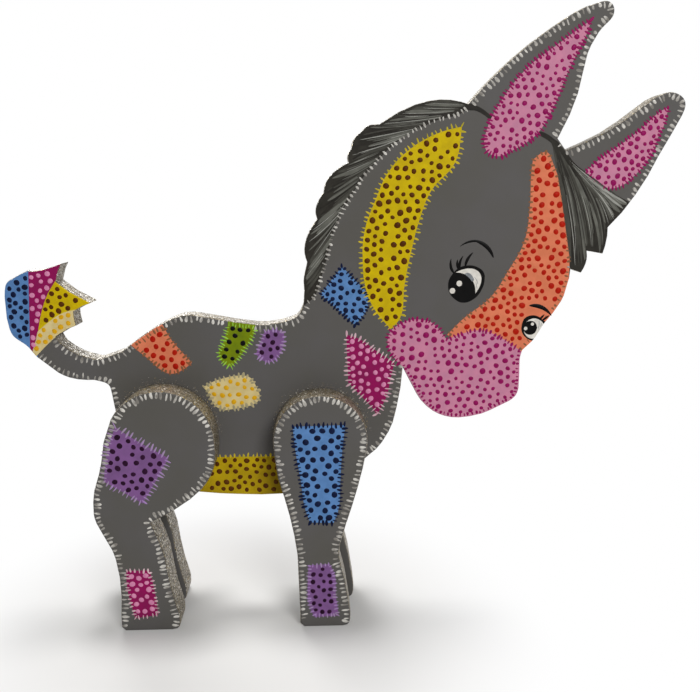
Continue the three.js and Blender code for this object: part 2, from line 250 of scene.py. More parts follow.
# Stitches: how much their places, directions, bows, lengths, widths and flares vary.
STITCH_STEP, STITCH_TURN, STITCH_BOW = 0.18, 0.2, 0.12
STITCH_LENGTHS, STITCH_WIDTHS, STITCH_FLARES = (0.6, 1.25), (0.65, 1.4), (-0.2, 0.5)
HEADING_REACH = 0.5
# The share of its outer part that a border stitch keeps from the rim, the outer part of a stitch on the rim, and
# the share of a stitch's inner part that the dots leave free.
RIM_ROOM, RIM_OUTWARD, STITCH_ROOM = 0.4, 0.5, 0.6


def drawn(runs):
    """The ring of a drawn outline. Each run starts at a corner and goes smoothly through the rest of its points."""
    points = [(x, z, first == 0) for run in runs for first, (x, z) in enumerate(run)]
    bpy.ops.object.select_all(action="DESELECT")
    bpy.ops.curve.primitive_bezier_circle_add()
    curve = bpy.context.object
    curve.data.resolution_u = CURVE_STEPS
    knots = curve.data.splines[0].bezier_points
    knots.add(len(points) - len(knots))
    for knot, (x, z, corner) in zip(knots, points):
        knot.co = (x, z, 0)
        knot.handle_left_type = knot.handle_right_type = "VECTOR" if corner else "AUTO"
    bpy.ops.object.convert(target="MESH")
    ring = np.array([vertex.co.xy for vertex in curve.data.vertices])
    bpy.data.objects.remove(curve)
    return ring


def plate(name, ring, near, far):
    """A flat plate with that outline, from one depth to another."""
    bpy.ops.object.select_all(action="DESELECT")
    bpy.ops.mesh.primitive_circle_add(vertices=len(ring), fill_type="NGON")
    made = bpy.context.object
    made.name = name
    for vertex, (x, z) in zip(made.data.vertices, ring):
        vertex.co = (x * MM, near * MM, z * MM)
    bpy.ops.object.mode_set(mode="EDIT")
    bpy.ops.mesh.select_all(action="SELECT")
    bpy.ops.mesh.extrude_region_move(TRANSFORM_OT_translate={"value": (0, (far - near) * MM, 0)})
    bpy.ops.mesh.select_all(action="SELECT")
    bpy.ops.mesh.normals_make_consistent(inside=False)
    bpy.ops.object.mode_set(mode="OBJECT")
    return made


def ground(board, side, ring, paint, coat=COAT):
    """An area of paint of that outline on a board: it follows the flat side and wraps over the rounded edge."""
    depth = depths[board, side]
    way = SIDES[side]
    made = plate("ground", ring, depth + way * PROUD, depth - way * ROUND_PAINTED)
    form = sawn(board, "coat_form")
    bpy.ops.object.mode_set(mode="EDIT")
    bpy.ops.mesh.select_all(action="SELECT")
    bpy.ops.transform.shrink_fatten(value=coat * MM, use_even_offset=True)
    bpy.ops.object.mode_set(mode="OBJECT")
    only(made)
    fit = made.modifiers.new("Fits the board", "BOOLEAN")
    fit.operation = "INTERSECT"
    fit.solver = "EXACT"
    fit.object = form
    bpy.ops.object.modifier_apply(modifier=fit.name)
    bpy.data.objects.remove(form)
    made.data.materials.clear()
    made.data.materials.append(paint)
    smooth(made)
    return made


def inside(spots, ring):
    """Which of the spots lie inside a ring."""
    x, z = np.asarray(spots, float).reshape(-1, 2).T[:, :, None]
    (x0, z0), (x1, z1) = ring.T, np.roll(ring, -1, 0).T
    level = (z0 > z) != (z1 > z)
    meets = x0 + (z - z0) * (x1 - x0) / np.where(z1 == z0, 1, z1 - z0)
    return (level & (x < meets)).sum(1) % 2 == 1


def clearance(spots, ring):
    """How far each spot lies from the line of a ring."""
    spots = np.asarray(spots, float).reshape(-1, 1, 2)
    steps = np.roll(ring, -1, 0) - ring
    share = np.clip(((spots - ring) * steps).sum(2) / np.maximum((steps ** 2).sum(1), 1e-9), 0, 1)
    gaps = spots - ring - share[..., None] * steps
    return np.hypot(gaps[..., 0], gaps[..., 1]).min(1)


def bead(around, lengthwise):
    """One touch of paint: the upper half of a ball of radius 1, its poles at the two ends of the stroke."""
    bpy.ops.object.select_all(action="DESELECT")
    bpy.ops.mesh.primitive_uv_sphere_add(segments=around, ring_count=lengthwise, rotation=(0, math.pi / 2, 0))
    made = bpy.context.object
    bpy.ops.object.transform_apply(location=False, rotation=True, scale=False)
    bpy.ops.object.mode_set(mode="EDIT")
    bpy.ops.mesh.select_all(action="SELECT")
    bpy.ops.mesh.bisect(plane_co=(0, 0, 0), plane_no=(0, 0, 1), use_fill=True, clear_inner=True)
    bpy.ops.object.mode_set(mode="OBJECT")
    corners = np.array([vertex.co for vertex in made.data.vertices])
    faces = [list(face.vertices) for face in made.data.polygons]
    bpy.data.objects.remove(made)
    return corners, faces


TOUCH = bead(8, 6)
HAIR = bead(6, 12)


def laid(board, side, marks, paint, lift=0.0, form=TOUCH, rise=RISE):
    """Copies of one touch of paint laid on a board's flat side. A mark is its two ends, half its width, how far its
    middle bows to the left, how much wider its far end is, and how far its ends lie from the board's edge."""
    corners, faces = form
    a, b, h = corners.T
    x0, z0, x1, z1, half, bow, flare, edge0, edge1 = np.array(marks, float).T[:, :, None]
    t = (a + 1) / 2
    length = np.hypot(x1 - x0, z1 - z0)
    across = b * half * (1 + flare * a) + 4 * t * (1 - t) * bow
    x = x0 + (x1 - x0) * t + (z0 - z1) / length * across
    z = z0 + (z1 - z0) * t + (x1 - x0) / length * across
    short = np.clip(EDGE_ROUND - edge0 - (edge1 - edge0) * t, 0, EDGE_ROUND)
    fall = EDGE_ROUND - np.sqrt(EDGE_ROUND ** 2 - short ** 2)
    proud = np.maximum(rise * half, LEAST_RISE) * h - SINK + lift - fall
    places = np.stack([x, depths[board, side] + SIDES[side] * proud, z], -1).reshape(-1, 3) * MM
    copies = [[v + i * len(corners) for v in face] for i in range(len(marks)) for face in faces]
    mesh = bpy.data.meshes.new("touches")
    mesh.from_pydata(places.tolist(), [], copies)
    made = bpy.data.objects.new("touches", mesh)
    bpy.context.collection.objects.link(made)
    made.data.materials.append(paint)
    only(made)
    bpy.ops.object.mode_set(mode="EDIT")
    bpy.ops.mesh.select_all(action="SELECT")
    bpy.ops.mesh.normals_make_consistent(inside=False)
    bpy.ops.object.mode_set(mode="OBJECT")
    bpy.ops.object.shade_smooth_by_angle(angle=SMOOTH_BELOW)
    return made


def dots(held_by, clear_of, sizes, between, margin, seed):
    """Dots set down from the border inwards, each clear of its neighbours and of the rings round it."""
    chance = random.Random(seed)
    low, high = held_by[0].min(0), held_by[0].max(0)
    tries = int(TRIES_PER_SQUARE * (high - low).prod())
    spots = np.array([[chance.uniform(low[i], high[i]) for i in (0, 1)] for _ in range(tries)])
    spots = spots[inside(spots, held_by[0])]
    radii = np.array([chance.choice(sizes) for _ in spots])
    room = np.full(len(spots), FAR)
    for ring in held_by:
        room = np.minimum(room, np.where(inside(spots, ring), clearance(spots, ring), -FAR))
    for ring in clear_of:
        room = np.minimum(room, np.where(inside(spots, ring), -FAR, clearance(spots, ring)))
    spare = room - radii - margin
    kept = []
    for i in np.argsort(spare):
        x, z, radius = *spots[i], radii[i]
        if spare[i] > 0 and all(math.hypot(x - u, z - w) > radius + r + between for u, w, r in kept):
            kept.append((x, z, radius))
    marks = []
    for x, z, radius in kept:
        turn = chance.uniform(0, math.pi)
        long, wide = chance.uniform(*DOT_LENGTHS), chance.uniform(*DOT_WIDTHS)
        u, w = radius * long * math.cos(turn), radius * long * math.sin(turn)
        flare = chance.uniform(-DOT_FLARE, DOT_FLARE)
        marks.append((x - u, z - w, x + u, z + w, radius * wide, 0, flare, FAR, FAR))
    return marks


def stitches(ring, gap, outward, inward, half, keep, seed, edge=False):
    """Short brush strokes across a ring, like hand stitches. keep says which places on it get one. On a board's own
    rim, edge is set, and the strokes bend down over the rounded edge."""
    chance = random.Random(seed)
    closed = np.vstack([ring, ring[:1]])
    run = np.concatenate([[0], np.cumsum(np.hypot(*np.diff(closed, axis=0).T))])
    turn = np.sign((closed[:-1, 0] * closed[1:, 1] - closed[1:, 0] * closed[:-1, 1]).sum())
    count = round(run[-1] / gap)
    stops = [(i + chance.uniform(-STITCH_STEP, STITCH_STEP)) * run[-1] / count for i in range(count)]
    at, before, after = (
        np.stack([np.interp(np.add(stops, shift) % run[-1], run, closed[:, i]) for i in (0, 1)], -1)
        for shift in (0, -HEADING_REACH, HEADING_REACH))
    marks = []
    for spot, ahead, wanted in zip(at, after - before, keep(at)):
        heading = math.atan2(ahead[1], ahead[0]) + turn * math.pi / 2 + chance.uniform(-STITCH_TURN, STITCH_TURN)
        out, into = outward * chance.uniform(*STITCH_LENGTHS), inward * chance.uniform(*STITCH_LENGTHS)
        thick, flare = half * chance.uniform(*STITCH_WIDTHS), chance.uniform(*STITCH_FLARES)
        bow = chance.uniform(-STITCH_BOW, STITCH_BOW)
        u, w = math.cos(heading), math.sin(heading)
        if wanted:
            drop = (EDGE_ROUND - out, EDGE_ROUND + into) if edge else (FAR, FAR)
            marks.append((spot[0] - u * out, spot[1] - w * out, spot[0] + u * into, spot[1] + w * into,
                          thick, bow, flare, *drop))
    return marks


def settle(name, parts):
    """Joins parts into one piece of that name, which rides on the body."""
    only(parts[0])
    for part in parts[1:]:
        part.select_set(True)
    bpy.ops.object.join()
    parts[0].name = name
    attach(parts[0], "root")


# What is painted on each board's side already: no outline stitches go there.
taken = collections.defaultdict(list)


def area(name, board, runs, paint, coat=COAT, spots=(), thread=(), rim_thread=False, under=()):
    """A coloured area on both sides of the figure, with its dots and the stitches round it, as one piece a side.
    board is the right side's one. under holds outlines that are painted over this area later."""
    for side in SIDES:
        own = board.replace("right", side)
        shift = (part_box(own)[0].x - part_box(board)[0].x) / MM
        ring = drawn(runs) + (shift, 0)
        edge_ring = rims[own, side]
        over = [drawn(outline) + (shift, 0) for outline in under]
        if own == "body_board":
            over += [rims[f"{side}_{leg}", side] for leg in ("hind_leg", "front_leg")]
        parts = [ground(own, side, ring, paint, coat)]
        if thread:
            ink, gap, outward, inward, half = thread

            def clear(places):
                return ~np.any([inside(places, line) for line in over] + [np.zeros(len(places), bool)], axis=0)

            def within(places):
                on_board = inside(places, edge_ring) & (clearance(places, edge_ring) > outward * RIM_ROOM)
                return clear(places) & on_board

            def along_rim(places):
                return clear(places) & inside(places, ring)

            marks = stitches(ring, gap, outward, inward, half, within, f"{side} {name} border")
            if rim_thread:
                marks += stitches(edge_ring, gap, RIM_OUTWARD, inward, half, along_rim, f"{side} {name} rim",
                                  edge=True)
            parts.append(laid(own, side, marks, ink, coat))
        if spots:
            ink, between, *sizes = spots
            margin = DOT_MARGIN + (thread[3] * STITCH_ROOM if thread else 0)
            marks = dots([ring, edge_ring], over, sizes, between, margin, f"{side} {name} dots")
            parts.append(laid(own, side, marks, ink, coat))
        taken[own, side].append(ring)
        settle(f"{side}_{name}", parts)


# Craft acrylics from the tube: the grounds are opaque and slightly streaky, and the dots are drops of thick paint.
SKY = acrylic("sky_blue_acrylic", "5a83b8", "5077a8")
NAVY = acrylic("navy_acrylic", "060d28", "0c1838", fleck=3.0, roughness=0.4)
PLUM = acrylic("magenta_acrylic", "8d0f53", "80174e")
ROSE = acrylic("rose_acrylic", "d78cb0", "c97ba2", fleck=3.0, roughness=0.4)
MUSTARD = acrylic("mustard_acrylic", "c8ae03", "bba108")
UMBER = acrylic("umber_acrylic", "482300", "562f02", fleck=3.0, roughness=0.4)
CREAM = acrylic("cream_acrylic", "d5c38c", "cab67c")
OCHRE = acrylic("ochre_acrylic", "cf9a08", "d6a41c", fleck=3.0, roughness=0.4)

area("tuft_blue_band", "body_board",
     [[(-170, 195)], [(-146, 195)], [(-149, 138)], [(-170, 138)]],
     SKY, coat=0.04, spots=(NAVY, 0.35, 1.45, 1.3, 1.15),
     under=[[[(-149.5, 195)], [(-120, 195)], [(-120, 138)], [(-152.5, 138)]]])
area("tuft_magenta_band", "body_board",
     [[(-149.2, 195)], [(-130, 195)], [(-136, 174), (-139.5, 171), (-143.5, 163), (-146, 154), (-148.5, 146)],
      [(-151, 138)], [(-152.5, 138)]],
     PLUM, coat=0.06, spots=(ROSE, 0.8, 1.3, 1.2, 1.1),
     under=[[[(-137.5, 176)], [(-115, 176)], [(-120, 138)], [(-149.5, 138)],
             [(-148, 150), (-146, 158.5), (-142.5, 168)]]])
area("tuft_mustard_band", "body_board",
     [[(-137.5, 176)], [(-115, 176)], [(-115, 163)], [(-128, 161), (-135.5, 159), (-142, 155)],
      [(-148, 150), (-146, 158.5), (-142.5, 168)]],
     MUSTARD, coat=0.08, spots=(UMBER, 0.7, 1.45, 1.3, 1.15),
     under=[[[(-148, 151), (-142, 156), (-135.5, 160)], [(-125, 162)], [(-125, 140)], [(-150, 140)]]])
area("tuft_cream_band", "body_board",
     [[(-120, 162.5)], [(-128, 162), (-135.5, 160), (-142, 156)], [(-148, 151), (-149.5, 146)], [(-152.5, 138)],
      [(-149.5, 139), (-144.5, 144), (-136.5, 150.5), (-129.5, 153.5)], [(-120, 156)]],
     CREAM, coat=0.1, spots=(OCHRE, 0.6, 1.4, 1.25, 1.15))


# The patches on the trunk.
# Small painted patches like pieces of dotted cotton, each held down by painted stitches in its own colour, and a
# broad mustard band under the belly, its mustard darker than elsewhere as painted shade under the body.
CORAL = acrylic("coral_acrylic", "d87a59", "ca7251")
RED = acrylic("red_acrylic", "a01002", "ad1b06", fleck=3.0, roughness=0.4)
RUST = acrylic("rust_acrylic", "8a5638", "755a40", fleck=3.0)
GREEN = acrylic("olive_green_acrylic", "728208", "65760d")
LIME = acrylic("lime_acrylic", "86bf3c", "9ccb50", fleck=3.0)
BLACK = acrylic("black_acrylic", "020202", "070606", fleck=3.0, roughness=0.4)
VIOLET = acrylic("violet_acrylic", "7e568c", "72507f")
AUBERGINE = acrylic("aubergine_acrylic", "1f051d", "2c0c2b", fleck=3.0, roughness=0.4)
LILAC = acrylic("lilac_acrylic", "a07fb5", "9d8aa5", fleck=5.0)
STONE = acrylic("stone_acrylic", "b5a77f", "948d70", fleck=3.0)
BLUSH = acrylic("blush_acrylic", "d8bcc2", "c09aa6", fleck=4.0)
OLIVE = acrylic("olive_acrylic", "a89a28", "c8b02a", fleck=4.0)
# A darker copy of the mustard for the belly band: painted shade under the body, with broad patches that are darker
# still.
BELLY_MUSTARD_SHADED = acrylic("mustard_acrylic_with_painted_shade", "b2970a", "8a7108", fleck=20.0)

area("rump_patch", "body_board",
     [[(-106, 146)], [(-92, 162)], [(-87.5, 153), (-84, 146.5), (-80.5, 142)],
      [(-74.5, 135), (-79, 131.5), (-84.5, 129.5), (-89, 131), (-95, 136.5)]],
     CORAL, spots=(RED, 1.0, 1.5, 1.4, 1.3), thread=(RUST, 2.2, 1.0, 2.2, 0.55), rim_thread=True)
area("green_patch", "body_board",
     [[(-55.5, 161)], [(-42.5, 160), (-44, 148.5), (-48, 142), (-51, 137.5)], [(-55.5, 132.5), (-60, 135.5)],
      [(-61.5, 140), (-58, 147)]],
     GREEN, spots=(BLACK, 1.0, 1.35, 1.25, 1.15), thread=(LIME, 1.7, 1.8, 1.6, 0.3), rim_thread=True)
area("violet_patch", "body_board",
     [[(-38.5, 150.5), (-33, 151)], [(-29, 150), (-29.5, 143.5), (-32.5, 137)], [(-37, 134.5), (-40, 136)],
      [(-43, 139), (-41, 144.5)]],
     VIOLET, spots=(AUBERGINE, 1.1, 1.3, 1.15), thread=(LILAC, 2.0, 1.4, 1.6, 0.4))
area("cream_patch", "body_board",
     [[(-69.5, 122.5), (-65, 125), (-57, 127.5)], [(-50, 128.5), (-46, 127), (-43.5, 123), (-42, 116)],
      [(-45.5, 113), (-52.5, 111.5)], [(-59, 110.5), (-63.5, 112.5), (-66, 117), (-67.5, 120)]],
     CREAM, spots=(OCHRE, 1.2, 1.35, 1.2, 1.1), thread=(STONE, 2.3, 1.4, 1.7, 0.62))
area("neck_diamond", "body_board",
     [[(-0.5, 182)], [(11, 170), (12.2, 163)], [(6, 153)], [(-11, 168.5)]],
     SKY, spots=(NAVY, 0.8, 1.4, 1.3, 1.15), thread=(NAVY, 1.9, 1.5, 1.3, 0.6))
area("chest_patch", "body_board",
     [[(1.5, 148.5), (8.5, 146), (16, 140.5)], [(25.5, 134), (23.5, 125), (22, 117.5)],
      [(17, 107), (14.5, 111), (9.5, 116.5)], [(2.5, 124)]],
     PLUM, spots=(ROSE, 1.0, 1.35, 1.25, 1.1), thread=(BLUSH, 2.3, 1.9, 1.8, 0.42))
area("belly_band", "body_board",
     [[(-85, 86)], [(-10, 86)], [(-10, 60)], [(-85, 60)]],
     BELLY_MUSTARD_SHADED, spots=(UMBER, 1.15, 1.45, 1.3, 1.15), thread=(OLIVE, 2.3, 1.8, 0.7, 0.42))


# The patches on the legs.
# The same dotted and stitched patches: violet and magenta on the hind legs, blue and violet on the front ones.
area("haunch_patch", "right_hind_leg",
     [[(-109.5, 107.5), (-102, 102)], [(-85, 91.5), (-91.5, 80)], [(-98.5, 68.5), (-107, 74)],
      [(-116.5, 80), (-114, 95)]],
     VIOLET, spots=(AUBERGINE, 1.35, 1.5, 1.35, 1.2), thread=(LILAC, 2.2, 2.4, 1.5, 0.38))
area("hind_hoof_patch", "right_hind_leg",
     [[(-108.5, 33)], [(-97, 33), (-95.5, 25), (-94.5, 17)], [(-94, 8.5)],
      [(-105.5, 7), (-107, 14.5), (-108.5, 23.5)]],
     PLUM, spots=(ROSE, 0.7, 1.5, 1.35, 1.2), thread=(BLUSH, 2.2, 1.1, 1.6, 0.42))
area("foreleg_patch", "right_front_leg",
     [[(-25, 106.5)], [(0.5, 107), (-1, 94.5), (-2, 79), (-3, 63.5)], [(-5.5, 56.5)],
      [(-17, 57), (-19.5, 64.5), (-21.5, 79.5), (-23.5, 92)]],
     SKY, spots=(NAVY, 1.1, 1.65, 1.5, 1.35), thread=(NAVY, 2.1, 1.8, 1.5, 0.6))
area("front_hoof_patch", "right_front_leg",
     [[(-18, 34)], [(-7.5, 34.5), (-5, 28.5), (-4.5, 17.5)], [(-3, 6)], [(-15.5, 5.5), (-18, 12), (-18.5, 26)]],
     VIOLET, spots=(AUBERGINE, 1.0, 1.3, 1.2, 1.05), thread=(LILAC, 2.0, 0.8, 1.9, 0.4))


# The face: a mustard stripe on the cheek, a coral blaze, and a pink muzzle.
# They are dotted and stitched like the patches. The blaze and the muzzle run out to the edge of the board, so their
# stitches go on along it.
PINK = acrylic("pink_acrylic", "c47e99", "b87a94")
CERISE = acrylic("cerise_acrylic", "80084c", "8e0f58", fleck=3.0, roughness=0.4)
FAR_EYE = [[(88.8, 153.5), (89.9, 155.9), (93, 157.4), (96.2, 157.1), (99.2, 155.1), (102, 153)], [(106, 150)],
           [(103, 144)], [(99.6, 145.4), (95.2, 144.6), (91.1, 146.2), (88.7, 149.9)]]
FAR_BROW = [[(91, 161.5), (93.5, 164.3), (98.5, 163.6), (104.5, 158.5)], [(103.5, 155.8), (97.5, 160.3)]]
MUZZLE = [[(23.5, 150.5), (28, 153.5), (33, 155.5), (39.5, 155.5), (44, 154)],
          [(51.5, 145.5), (59, 148.5), (69, 150), (79, 146), (84.5, 142.5)], [(89, 139.3)], [(100, 134)], [(100, 90)],
          [(40, 95)], [(28, 118)], [(30.5, 131.5), (28, 133.5), (25.5, 136.5), (23, 140.5), (22, 145.5)]]

area("cheek_stripe", "body_board",
     [[(56, 247.5), (45, 244.5), (31.5, 237), (21.5, 226.5), (15.5, 213.5), (10.5, 199.5), (9.5, 185),
       (11.5, 169.5), (16, 160)],
      [(23.5, 151), (28, 156.5), (30, 173), (33, 189), (37, 205), (42.5, 218.5), (52, 229), (54.5, 234.5),
       (55.5, 241.5)]],
     MUSTARD, spots=(UMBER, 1.35, 1.6, 1.45, 1.3, 1.1), thread=(OLIVE, 2.4, 2.1, 0.9, 0.42))
area("blaze", "body_board",
     [[(90.5, 232.5), (96.5, 236)],
      [(98.3, 235), (100.8, 229.5), (104, 222.2), (106, 216), (108.2, 207.7), (109.9, 195.6), (110.7, 187)],
      [(111, 180)], [(125, 172)], [(100, 130)], [(85, 134)], [(60, 143)],
      [(51.5, 148), (60, 156.5), (72.5, 166.5), (80.5, 179), (88, 193.5), (90, 209), (90, 227.5)]],
     CORAL, spots=(RED, 1.0, 1.6, 1.5, 1.35, 1.2), thread=(RUST, 2.5, 0.9, 1.7, 0.5), rim_thread=True,
     under=[MUZZLE, FAR_EYE, FAR_BROW])
area("muzzle", "body_board", MUZZLE, PINK, coat=0.08, spots=(CERISE, 1.4, 1.6, 1.4, 1.2, 1.0),
     thread=(CERISE, 2.1, 1.5, 1.5, 0.58), rim_thread=True)


# The mane, the crown line and the forelock.
# Painted hair: a near-black ground, then long strokes of a brush in greys, dark where one lock ends over the next
# and pale along the middle of each lock. A line of white stitches sews the mane to the neck.
HAIR_GROUND = acrylic("hair_ground_acrylic", "312f2a", "282622", fleck=5.0)
HAIR_DARK = acrylic("hair_dark_acrylic", "24221f", "2d2a26", fleck=4.0)
HAIR_MID = acrylic("hair_mid_acrylic", "3a3934", "46453f", fleck=6.0)
HAIR_SOFT = acrylic("hair_soft_acrylic", "66665f", "55554f", fleck=7.0)
HAIR_LIGHT = acrylic("hair_light_acrylic", "888882", "a2a29c", fleck=8.0)
WHITE = acrylic("white_acrylic", "cfccc5", "7d7973", fleck=4.0)
HAIR_COAT = 0.09
HAIR_LAYER = 0.02
# The brushes, from the first laid to the last: paint, least and greatest half width, how often they are taken, and
# whether they keep to the pale middle of a lock.
BRUSHES = ((HAIR_DARK, 0.35, 0.8, 0.7, 0), (HAIR_MID, 0.5, 1.1, 1.3, 0), (HAIR_SOFT, 0.4, 0.9, 1.7, 1),
           (HAIR_LIGHT, 0.12, 0.28, 1.2, 1), (HAIR_DARK, 0.12, 0.24, 0.8, 0))
PARTING_WIDTH, PARTING_REACH, PARTING_FLARE = 1.0, (0.25, 1.02), 0.5
# Where strokes start and end as shares of the lock, how much their flare and bow vary, how many points their path
# has, and how many of these have to be passed for a stroke that the rings cut short to be laid.
STROKE_STARTS, STROKE_ENDS = (0, 0.4), (0.7, 1.02)
STROKE_FLARE, STROKE_BOW = 0.3, 0.02
PATH_POINTS, FEWEST_POINTS = 24, 8
# Each lock: where its strokes start, where they end, how many there are, how far they bow at its two sides as a
# share of their length, and how pale its middle is.
MANE_LOCKS = (
    ([(63, 258), (50, 253)], [(36, 259.5), (25, 255.5), (17.5, 249.5)], 24, (0, 0.04), 1.3),
    ([(52, 254), (40, 248.5)], [(16.5, 249.5), (11, 248), (7.5, 245.5)], 18, (0, 0.04), 1.3),
    ([(42, 249.5), (28, 242)], [(7, 244), (4, 238), (3.5, 232.5)], 22, (0, 0.04), 1.2),
    ([(29, 243), (16, 231.5)], [(2.5, 231.5), (-5, 226), (-9, 217)], 22, (0, 0.04), 1.2),
    ([(17, 232), (8, 221.5)], [(-9.5, 215.5), (-12, 210), (-12.3, 205)], 18, (0, 0.04), 1.0),
    ([(9, 223), (-1, 207)], [(-13, 204.5), (-17.5, 197), (-17, 185)], 22, (0, 0.04), 0.9),
    ([(0, 209), (-9, 182)], [(-17, 184), (-20.5, 175), (-20, 164)], 20, (0, 0.04), 0.7))
FORELOCK = (
    ([(99, 240), (101, 239)], [(110, 179), (116, 175), (122, 180)], 26, (0.03, 0.06), 0.6),
    ([(101, 239.5), (106, 231)], [(119, 180), (124.5, 184), (128, 184.5)], 26, (0.06, 0.16), 0.8),
    ([(110, 228), (111, 227)], [(128, 186), (133, 194.5), (135.5, 202)], 18, (0.14, 0.06), 1.0),
    ([(107, 232), (108, 232.5)], [(134, 202), (138.5, 208), (143.5, 213)], 30, (0.03, -0.04), 3.2))


def combed(rings, locks, seed):
    """Hair strokes for a set of locks, kept within the rings, as a list of marks for each brush. The first stroke
    of a lock is the dark parting above it."""
    chance = random.Random(seed)
    laid_by = [[] for _ in BRUSHES]
    for roots, tips, count, bends, shine in locks:
        for i in range(count):
            if i == 0:
                share, brush, reach, width, flare = 0, 0, PARTING_REACH, PARTING_WIDTH, PARTING_FLARE
            else:
                share = (i + chance.random()) / count
                pale = shine * math.sin(math.pi * share) ** 2
                often = [usual * (pale if middle else 1) for _, _, _, usual, middle in BRUSHES]
                brush = chance.choices(range(len(BRUSHES)), often)[0]
                reach = (chance.uniform(*STROKE_STARTS), chance.uniform(*STROKE_ENDS))
                width = chance.uniform(*BRUSHES[brush][1:3])
                flare = chance.uniform(-STROKE_FLARE, STROKE_FLARE)
            start, end = (np.array([np.interp(share * (len(line) - 1), range(len(line)), axis)
                                    for axis in zip(*line)]) for line in (roots, tips))
            bow = np.interp(share, (0, 1), bends) + chance.uniform(-STROKE_BOW, STROKE_BOW)
            t = np.linspace(*reach, PATH_POINTS)
            across = np.array([start[1] - end[1], end[0] - start[0]])
            path = start + t[:, None] * (end - start) + (4 * t * (1 - t) * bow)[:, None] * across
            held = np.all([inside(path, ring) for ring in rings], axis=0)
            if held.sum() > FEWEST_POINTS:
                t, path = t[held], path[held]
                bow *= np.hypot(*across) * (t[-1] - t[0]) ** 2
                laid_by[brush].append((*path[0], *path[-1], width, bow, flare, FAR, FAR))
    return laid_by


def haired(name, runs, locks, extra=(), thread=()):
    """Hair on both sides: its ground, the stitches along its border and its strokes, as one piece a side. extra
    holds single strokes, each with its brush's place in BRUSHES first."""
    for side in SIDES:
        ring = drawn(runs)
        edge_ring = rims["body_board", side]
        parts = [ground("body_board", side, ring, HAIR_GROUND, HAIR_COAT)]
        laid_by = combed((ring, edge_ring), locks, f"{side} {name} strokes")
        for brush, *mark in extra:
            laid_by[brush].append((*mark, FAR, FAR))
        for i, ((paint, *_), marks) in enumerate(zip(BRUSHES, laid_by)):
            parts.append(laid("body_board", side, marks, paint, HAIR_COAT + HAIR_LAYER * i, HAIR, rise=0))
        if thread:
            ink, *sizes = thread
            marks = stitches(ring, *sizes, lambda places: inside(places, edge_ring), f"{side} {name} border")
            parts.append(laid("body_board", side, marks, ink, HAIR_COAT))
        taken["body_board", side].append(ring)
        settle(f"{side}_{name}", parts)


haired("mane",
       [[(-18.5, 163.5), (-14, 167.5), (-10.5, 177), (-7.5, 187), (-5, 197), (-1, 207), (4, 215.5), (9.5, 224),
         (16.5, 232), (27, 241.5), (42, 249.5), (59, 257)], [(55, 275)], [(0, 275)], [(-30, 230)], [(-30, 160)]],
       MANE_LOCKS, thread=(WHITE, 2.3, 1.2, 1.5, 0.48))
haired("forelock",
       [[(98, 242)], [(100.3, 237), (102, 230), (104.3, 222.2), (106.2, 216), (108.4, 207.7), (110.1, 195.6),
                      (110.9, 187)], [(111, 172)], [(145, 172)], [(145, 209)],
        [(138, 212.8), (131.5, 216.2), (123.5, 220.7), (116, 226.7), (111, 230.5), (106, 236.2), (101, 240.5)]],
       FORELOCK, extra=((0, 101, 238, 109.8, 203, 0.9, 1.2, 0.3), (0, 108.6, 212, 112.6, 181.5, 1.2, 0.6, -0.2),
                        (0, 114, 222.5, 127.2, 189.5, 0.7, 5.6, 0.3), (0, 113, 223.8, 131, 203.5, 0.5, 2.2, 0.3),
                        (2, 112.5, 226.2, 137.4, 211.4, 1.5, -0.5, 0.3), (2, 112.5, 225, 134.4, 207.6, 1.3, 0.4, 0.3),
                        (2, 112, 215, 118.5, 184.5, 0.9, 0.6, 0.1), (2, 116.5, 216, 125.6, 188.5, 0.9, 2, 0.1),
                        (3, 115, 225.4, 137.2, 212, 0.7, -0.5, 0.3), (3, 115.5, 223.6, 135.8, 209.4, 0.55, 0, 0.3)))
area("crown_line", "body_board",
     [[(57, 258.6), (63.2, 256.7), (66.7, 254.7), (70, 252.3), (80, 249), (91, 246), (95.6, 244.7), (99.9, 242.1),
       (103, 239)],
      [(100.6, 237), (99.3, 239.5), (96.2, 241.9), (92.5, 243.6), (80, 246.5), (69, 250.8), (66.6, 252.5),
       (63, 254.4), (57, 256)]],
     HAIR_DARK, coat=0.05)


# The ears' insides.
# A long pink leaf in each ear, dotted and edged with cerise. The near one lies over the crown line.
area("near_ear_leaf", "body_board",
     [[(114.5, 295), (100.5, 285), (86, 274), (73.5, 258), (67.5, 245), (67, 239), (69, 235.5), (74.5, 234),
       (80, 236.5), (86.5, 240), (92.5, 245), (99.5, 257.5), (104.5, 271), (110, 283), (113, 289.5)]],
     PINK, coat=0.12, spots=(CERISE, 1.15, 1.4, 1.25, 1.1, 0.9), thread=(CERISE, 1.9, 1.7, 1.6, 0.55))
area("far_ear_leaf", "body_board",
     [[(154, 256.5), (150, 254.5), (143.5, 248.5), (134.5, 241), (125, 234.5)], [(116, 227), (119.5, 223.5)],
      [(124.5, 219.5), (129.5, 219), (134.5, 220.5), (139.5, 224.5), (144, 229.5), (148, 236), (150, 242.5),
       (152.5, 248.5)]],
     PINK, coat=0.12, spots=(CERISE, 0.8, 1.5, 1.35, 1.2, 1.0), thread=(CERISE, 1.9, 1.5, 1.5, 0.55))


# The stitches round the edges of the boards.
# Short strokes of thin white paint across every edge of the flat sides, left out where a patch, the hair or a leg
# covers the edge, and along the soles.
SOLE_CLEAR = 2.5
